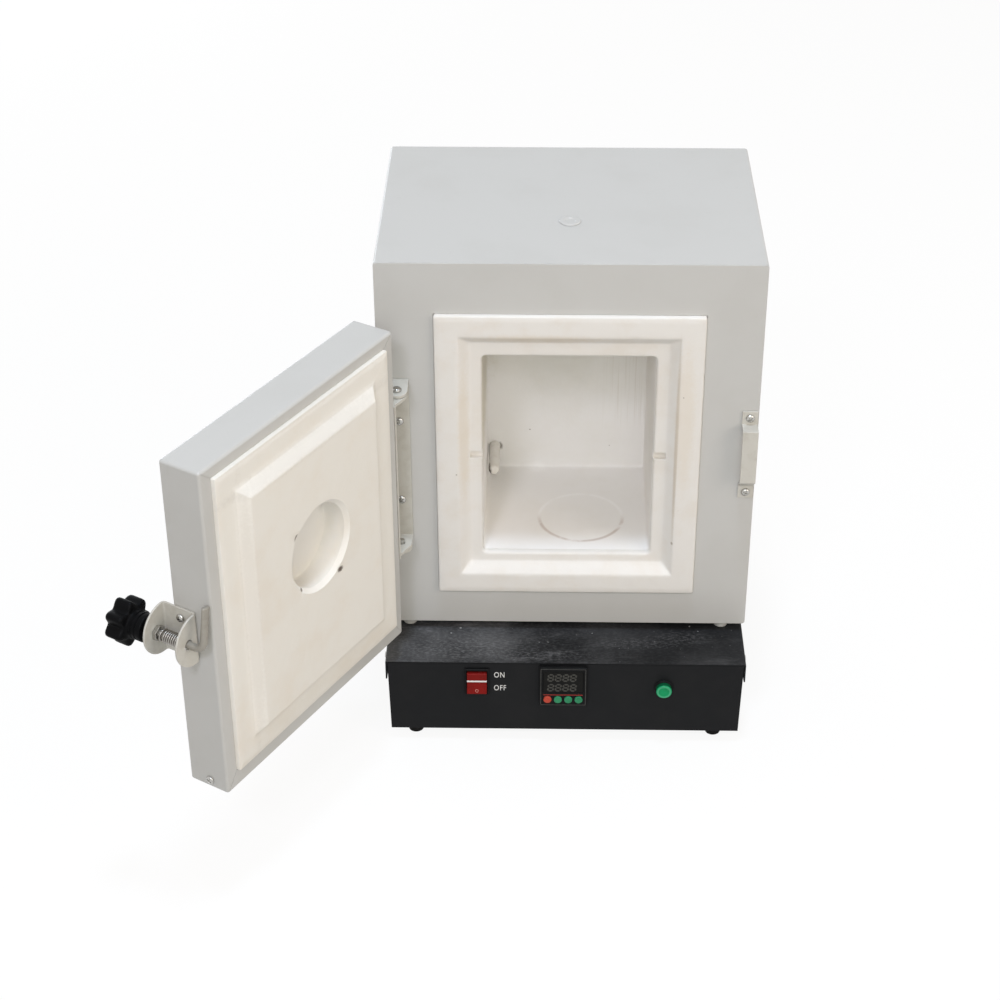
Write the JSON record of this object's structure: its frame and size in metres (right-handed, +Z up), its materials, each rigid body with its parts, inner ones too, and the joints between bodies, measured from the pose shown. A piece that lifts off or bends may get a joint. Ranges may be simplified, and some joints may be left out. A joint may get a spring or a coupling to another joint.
{
  "type": "muffle furnace",
  "caption": "Bench-top muffle furnace: fibre-lined heating chamber in a grey sheet casing with a side-hung latched door, standing on a black control base.",
  "frame": {"origin": "middle of the underside of the whole object's box, with the door open as at rest", "axes": "+Z up; the chamber opens towards -Y; +X to the right seen from the front"},
  "size_m": [0.585, 0.5802, 0.517],
  "materials": {
    "grey_paint": "semi-gloss",
    "bracket_paint": "semi-gloss",
    "black_paint": "satin, dusty on top",
    "white_fibre": "matt",
    "cream_fibre": "matt",
    "sensor_ceramic": "matt",
    "heating_wire": "oxidised",
    "black_plastic": "satin",
    "red_plastic": "gloss",
    "button_red": "satin",
    "button_green": "satin",
    "display_window": "gloss",
    "green_lens": "gloss",
    "grey_rubber": "matt",
    "black_rubber": "matt",
    "bright_steel": "bright",
    "hook_steel": "dull",
    "aluminium": "satin",
    "relay_plastic": "matt"
  },
  "bodies": {
    "cabinet": {"base_tray": "black_paint", "base_cover": "black_paint", "base_foot_front_left": "black_rubber", "base_foot_front_right": "black_rubber", "base_foot_rear_left": "black_rubber", "base_foot_rear_right": "black_rubber", "rocker_housing": "black_plastic", "controller_case": "black_plastic", "controller_window": "display_window", "lamp_body": "black_plastic", "lamp_lens": "green_lens", "mains_inlet": "black_plastic", "relay_heatsink": "aluminium", "solid_state_relay": "relay_plastic", "terminal_block": "relay_plastic", "casing_wrap": "grey_paint", "front_panel": "grey_paint", "back_panel": "grey_paint", "bottom_plate": "grey_paint", "standoff_front_left": "grey_rubber", "standoff_front_right": "grey_rubber", "standoff_rear_left": "grey_rubber", "standoff_rear_right": "grey_rubber", "vent_plug": "grey_paint", "front_frame": "white_fibre", "chamber_floor": "white_fibre", "chamber_roof": "white_fibre", "chamber_left_wall": "white_fibre", "chamber_right_wall": "white_fibre", "chamber_back_wall": "white_fibre", "heater_left": "heating_wire", "heater_right": "heating_wire", "thermocouple": "sensor_ceramic", "keeper_strap": "bracket_paint", "keeper_screw_upper": "bright_steel", "keeper_screw_lower": "bright_steel", "hinge_body_bracket": "bracket_paint", "hinge_body_screw_upper": "bright_steel", "hinge_body_screw_lower": "bright_steel", "hinge_pin_upper": "bright_steel", "hinge_pin_lower": "bright_steel"},
    "door": {"door_tray": "grey_paint", "door_plug": "cream_fibre", "door_edge_screw": "bright_steel", "hinge_door_bracket": "bracket_paint", "hinge_door_screw_upper": "bright_steel", "hinge_door_screw_lower": "bright_steel", "latch_bracket": "bracket_paint", "latch_screw_upper": "bright_steel", "latch_screw_lower": "bright_steel"},
    "latch_slider": {"latch_nut": "bright_steel", "latch_spring": "bright_steel"},
    "latch_bolt": {"latch_hook": "hook_steel", "latch_knob": "black_plastic"},
    "rocker": {"rocker": "red_plastic"},
    "button_1": {"controller_button_1": "button_red"},
    "button_2": {"controller_button_2": "button_green"},
    "button_3": {"controller_button_3": "button_green"},
    "button_4": {"controller_button_4": "button_green"}
  },
  "joints": [
    {"name": "door_swing", "type": "hinge", "parent": "cabinet", "child": "door", "pos_m": [-0.05169, -0.00503, 0.3025], "axis": [0, 0, 1], "range_deg": [-39, 120.4]},
    {"name": "latch_push", "type": "slide", "parent": "door", "child": "latch_slider", "axis": [0.8625, -0.506, 0], "range_m": [0, 0.006], "stiffness_N_per_m": 800, "springref_m": -0.004, "deforming": ["latch_spring"]},
    {"name": "latch_turn", "type": "hinge", "parent": "latch_slider", "child": "latch_bolt", "pos_m": [-0.2118, -0.27793, 0.299], "axis": [0.8625, -0.506, 0], "range_deg": [0, 101]},
    {"name": "rocker_tilt", "type": "hinge", "parent": "cabinet", "child": "rocker", "pos_m": [0.02191, -0.04033, 0.0753], "axis": [1, 0, 0], "range_deg": [0, 14]},
    {"name": "button_1_press", "type": "slide", "parent": "cabinet", "child": "button_1", "axis": [0, 1, 0], "range_m": [0, 0.0008], "stiffness_N_per_m": 300, "springref_m": -0.001},
    {"name": "button_2_press", "type": "slide", "parent": "cabinet", "child": "button_2", "axis": [0, 1, 0], "range_m": [0, 0.0008], "stiffness_N_per_m": 300, "springref_m": -0.001},
    {"name": "button_3_press", "type": "slide", "parent": "cabinet", "child": "button_3", "axis": [0, 1, 0], "range_m": [0, 0.0008], "stiffness_N_per_m": 300, "springref_m": -0.001},
    {"name": "button_4_press", "type": "slide", "parent": "cabinet", "child": "button_4", "axis": [0, 1, 0], "range_m": [0, 0.0008], "stiffness_N_per_m": 300, "springref_m": -0.001}
  ]
}
